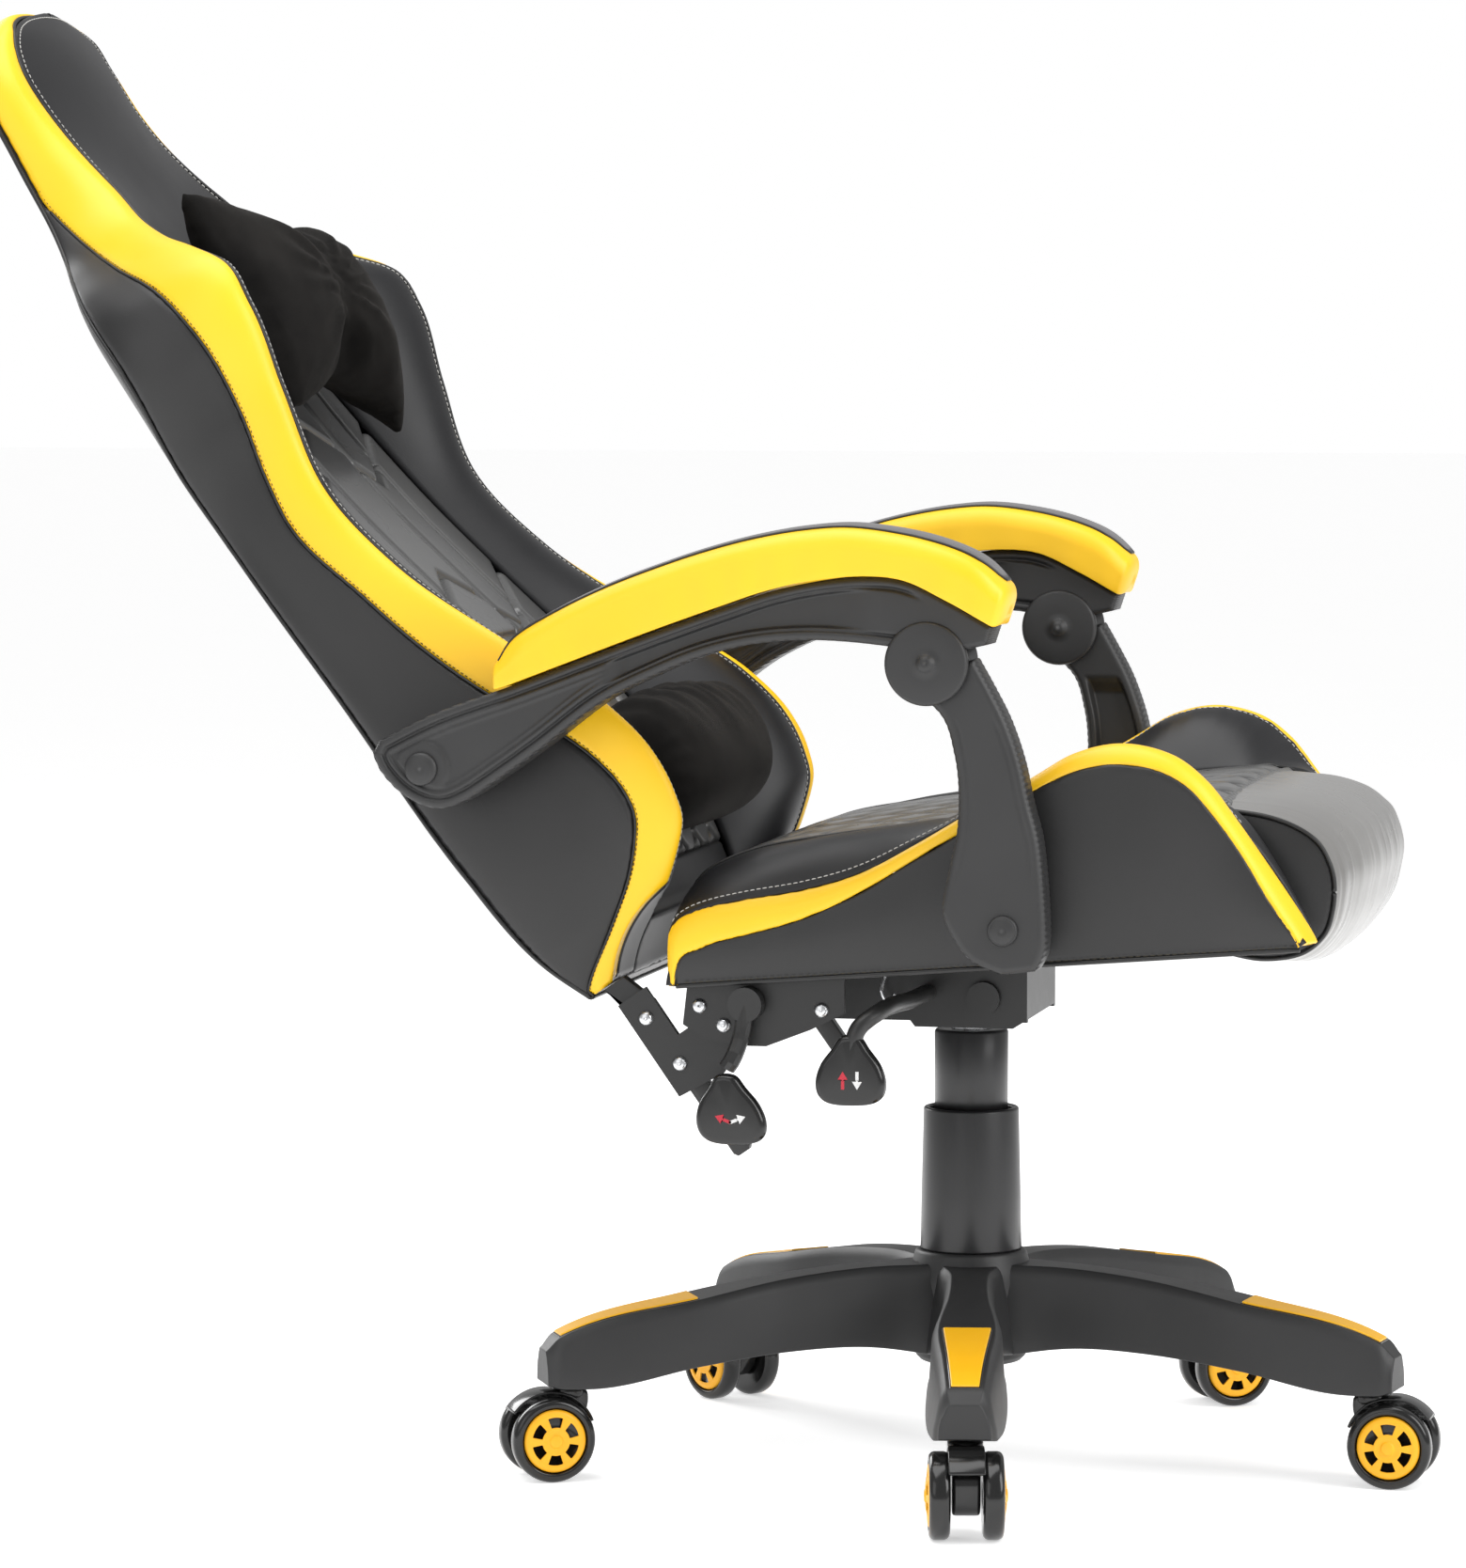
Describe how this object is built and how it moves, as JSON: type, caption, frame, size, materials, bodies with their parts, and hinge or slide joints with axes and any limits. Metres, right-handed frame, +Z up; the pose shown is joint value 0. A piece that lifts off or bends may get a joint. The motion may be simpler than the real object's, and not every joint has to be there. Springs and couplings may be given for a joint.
{
  "type": "gaming chair",
  "caption": "Racing-style office chair on casters with a reclining bucket back, linked armrests that follow it, gas lift, swivel seat and two loose support pillows.",
  "frame": {"origin": "middle of the chair's footprint, on the floor, with the back leaned as pictured", "axes": "+X the way the sitter faces, +Y the sitter's left, +Z up"},
  "size_m": [1.0696, 0.6562, 1.0406],
  "materials": {
    "pan_board": "black cloth over plywood",
    "seat_upholstery": "smooth black vinyl over foam with yellow vinyl bands",
    "back_upholstery": "smooth and quilted black vinyl over foam with yellow vinyl bands",
    "arm_pad_vinyl": "yellow vinyl sides under a grey vinyl top",
    "plush": "short black plush",
    "black_steel": "black powder coat",
    "zinc": "bright zinc",
    "black_nylon": "finely textured black plastic",
    "amber_nylon": "satin amber plastic",
    "tyre_black": "glossy black nylon with amber spoked rim caps"
  },
  "bodies": {
    "base": {"star_base": "black_nylon", "base_insert_1": "amber_nylon", "base_insert_2": "amber_nylon", "base_insert_3": "amber_nylon", "base_insert_4": "amber_nylon", "base_insert_5": "amber_nylon", "gas_column": "black_steel", "cover_lower": "black_nylon"},
    "lift": {"gas_piston": "zinc", "cover_upper": "black_nylon"},
    "seat": {"mechanism": "black_steel", "spring_hook": "zinc", "seat_pan": "pan_board", "seat_cushion": "seat_upholstery", "front_cushion": "seat_upholstery", "seat_bolster_right": "seat_upholstery", "seat_bolster_left": "seat_upholstery", "seat_plate_right": "black_steel", "seat_plate_left": "black_steel", "sync_rod": "black_steel", "seat_bolt_right": "black_nylon", "seat_bolt_left": "black_nylon"},
    "back": {"back_board": "back_upholstery", "back_cushion": "back_upholstery", "head_cushion": "back_upholstery", "back_wing_right": "back_upholstery", "back_wing_left": "back_upholstery", "back_leg_right": "black_steel", "back_leg_left": "black_steel", "back_bracket_right": "black_steel", "back_bracket_left": "black_steel", "head_pillow": "plush", "lumbar_pillow": "plush", "back_bolt_right": "black_nylon", "back_bolt_left": "black_nylon"},
    "armrest_right": {"arm_beam_right": "black_nylon", "arm_pad_right": "arm_pad_vinyl"},
    "arm_link_right": {"arm_support_right": "black_nylon"},
    "armrest_left": {"arm_beam_left": "black_nylon", "arm_pad_left": "arm_pad_vinyl"},
    "arm_link_left": {"arm_support_left": "black_nylon"},
    "lift_control": {"lift_lever": "black_steel", "lift_paddle": "black_nylon"},
    "recline_control": {"recline_lever": "black_steel", "recline_paddle": "black_nylon"},
    "caster_1": {"caster_housing_1": "black_nylon"},
    "roller_1a": {"wheel_1a": "tyre_black"},
    "roller_1b": {"wheel_1b": "tyre_black"},
    "caster_2": {"caster_housing_2": "black_nylon"},
    "roller_2a": {"wheel_2a": "tyre_black"},
    "roller_2b": {"wheel_2b": "tyre_black"},
    "caster_3": {"caster_housing_3": "black_nylon"},
    "roller_3a": {"wheel_3a": "tyre_black"},
    "roller_3b": {"wheel_3b": "tyre_black"},
    "caster_4": {"caster_housing_4": "black_nylon"},
    "roller_4a": {"wheel_4a": "tyre_black"},
    "roller_4b": {"wheel_4b": "tyre_black"},
    "caster_5": {"caster_housing_5": "black_nylon"},
    "roller_5a": {"wheel_5a": "tyre_black"},
    "roller_5b": {"wheel_5b": "tyre_black"}
  },
  "joints": [
    {"name": "seat_lift", "type": "slide", "parent": "base", "child": "lift", "axis": [0, 0, 1], "range_m": [-0.05, 0.035]},
    {"name": "seat_swivel", "type": "hinge", "parent": "lift", "child": "seat", "pos_m": [0.19104, 0.01735, 0.319], "axis": [0, 0, 1], "continuous": true},
    {"name": "back_recline", "type": "hinge", "parent": "seat", "child": "back", "pos_m": [0.07604, 0.01735, 0.352], "axis": [0, -1, 0], "range_deg": [-30, 18]},
    {"name": "armrest_hinge_right", "type": "hinge", "parent": "back", "child": "armrest_right", "pos_m": [-0.13996, -0.25665, 0.515], "axis": [0, -1, 0], "range_deg": [-10, 17]},
    {"name": "arm_link_hinge_right", "type": "hinge", "parent": "seat", "child": "arm_link_right", "pos_m": [0.26404, -0.25665, 0.411], "axis": [0, -1, 0], "range_deg": [-35, 21]},
    {"name": "armrest_hinge_left", "type": "hinge", "parent": "back", "child": "armrest_left", "pos_m": [-0.13996, 0.29135, 0.515], "axis": [0, -1, 0], "range_deg": [-10, 17]},
    {"name": "arm_link_hinge_left", "type": "hinge", "parent": "seat", "child": "arm_link_left", "pos_m": [0.26404, 0.29135, 0.411], "axis": [0, -1, 0], "range_deg": [-35, 21]},
    {"name": "lift_lever_pull", "type": "hinge", "parent": "seat", "child": "lift_control", "pos_m": [0.16904, -0.04665, 0.344], "axis": [-1, 0, 0], "range_deg": [0, 4], "stiffness_Nm_per_rad": 25, "springref_deg": -2.29},
    {"name": "recline_lever_pull", "type": "hinge", "parent": "seat", "child": "recline_control", "pos_m": [0.07604, -0.22765, 0.352], "axis": [0, 1, 0], "range_deg": [0, 28], "stiffness_Nm_per_rad": 1.5, "springref_deg": -11.46},
    {"name": "caster_swivel_1", "type": "hinge", "parent": "base", "child": "caster_1", "pos_m": [0.24055, -0.27854, 0.066], "axis": [0, 0, 1], "continuous": true},
    {"name": "roller_spin_1a", "type": "hinge", "parent": "caster_1", "child": "roller_1a", "pos_m": [0.24399, -0.29417, 0.03], "axis": [0.9767, 0.2147, 0], "continuous": true},
    {"name": "roller_spin_1b", "type": "hinge", "parent": "caster_1", "child": "roller_1b", "pos_m": [0.24399, -0.29417, 0.03], "axis": [0.9767, 0.2147, 0], "continuous": true},
    {"name": "caster_swivel_2", "type": "hinge", "parent": "base", "child": "caster_2", "pos_m": [0.48774, -0.027, 0.066], "axis": [0, 0, 1], "continuous": true},
    {"name": "roller_spin_2a", "type": "hinge", "parent": "caster_2", "child": "roller_2a", "pos_m": [0.50371, -0.028, 0.03], "axis": [0.0628, 0.998, 0], "continuous": true},
    {"name": "roller_spin_2b", "type": "hinge", "parent": "caster_2", "child": "roller_2b", "pos_m": [0.50371, -0.028, 0.03], "axis": [0.0628, 0.998, 0], "continuous": true},
    {"name": "caster_swivel_3", "type": "hinge", "parent": "base", "child": "caster_3", "pos_m": [0.3249, 0.28583, 0.066], "axis": [0, 0, 1], "continuous": true},
    {"name": "roller_spin_3a", "type": "hinge", "parent": "caster_3", "child": "roller_3a", "pos_m": [0.33897, 0.29344, 0.03], "axis": [-0.4756, 0.8796, 0], "continuous": true},
    {"name": "roller_spin_3b", "type": "hinge", "parent": "caster_3", "child": "roller_3b", "pos_m": [0.33897, 0.29344, 0.03], "axis": [-0.4756, 0.8796, 0], "continuous": true},
    {"name": "caster_swivel_4", "type": "hinge", "parent": "base", "child": "caster_4", "pos_m": [-0.02294, 0.22762, 0.066], "axis": [0, 0, 1], "continuous": true},
    {"name": "roller_spin_4a", "type": "hinge", "parent": "caster_4", "child": "roller_4a", "pos_m": [-0.03505, 0.23807, 0.03], "axis": [-0.6534, -0.757, 0], "continuous": true},
    {"name": "roller_spin_4b", "type": "hinge", "parent": "caster_4", "child": "roller_4b", "pos_m": [-0.03505, 0.23807, 0.03], "axis": [-0.6534, -0.757, 0], "continuous": true},
    {"name": "caster_swivel_5", "type": "hinge", "parent": "base", "child": "caster_5", "pos_m": [-0.07506, -0.12118, 0.066], "axis": [0, 0, 1], "continuous": true},
    {"name": "roller_spin_5a", "type": "hinge", "parent": "caster_5", "child": "roller_5a", "pos_m": [-0.08914, -0.12879, 0.03], "axis": [0.4756, -0.8796, 0], "continuous": true},
    {"name": "roller_spin_5b", "type": "hinge", "parent": "caster_5", "child": "roller_5b", "pos_m": [-0.08914, -0.12879, 0.03], "axis": [0.4756, -0.8796, 0], "continuous": true}
  ],
  "couplings": [
    {"joint": "armrest_hinge_right", "follows": "back_recline", "ratio": -0.54},
    {"joint": "arm_link_hinge_right", "follows": "back_recline", "ratio": 1.14},
    {"joint": "armrest_hinge_left", "follows": "back_recline", "ratio": -0.54},
    {"joint": "arm_link_hinge_left", "follows": "back_recline", "ratio": 1.14}
  ]
}
